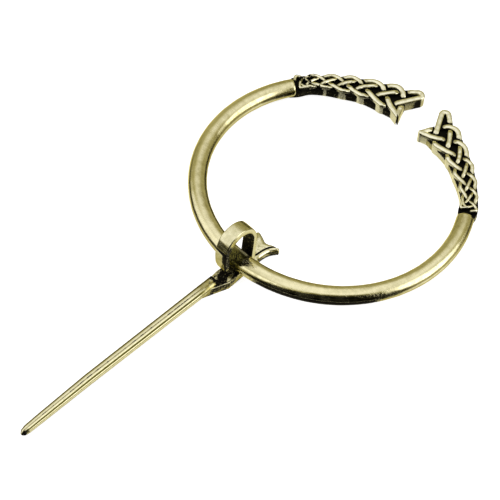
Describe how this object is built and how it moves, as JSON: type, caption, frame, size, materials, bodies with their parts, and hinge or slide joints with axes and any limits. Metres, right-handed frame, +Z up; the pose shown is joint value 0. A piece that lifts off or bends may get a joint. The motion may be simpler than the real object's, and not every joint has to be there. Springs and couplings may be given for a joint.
{
  "type": "penannular brooch",
  "caption": "Open ring brooch with flat interlace terminals and a free-swinging pin whose loop hangs on the rod.",
  "frame": {"origin": "on the surface that the brooch lies on, at the underside of the pin's plate, straight below the rod", "axes": "+Z up, +Y from the pin's head across the ring towards the gap, +X to the right, along the rod at the head"},
  "size_m": [0.0598, 0.1211, 0.0158],
  "materials": {
    "ring_brass": "antiqued cast brass, worn bright on the high parts and near black in the recesses",
    "pin_brass": "antiqued cast brass, satin on the shank and dark under the loop"
  },
  "bodies": {
    "ring": {"ring": "ring_brass"},
    "pin": {"pin": "pin_brass"}
  },
  "joints": [
    {"name": "pin_swing", "type": "hinge", "parent": "ring", "child": "pin", "pos_m": [0, 0, 0.00432], "axis": [-1, 0, 0], "continuous": true}
  ]
}
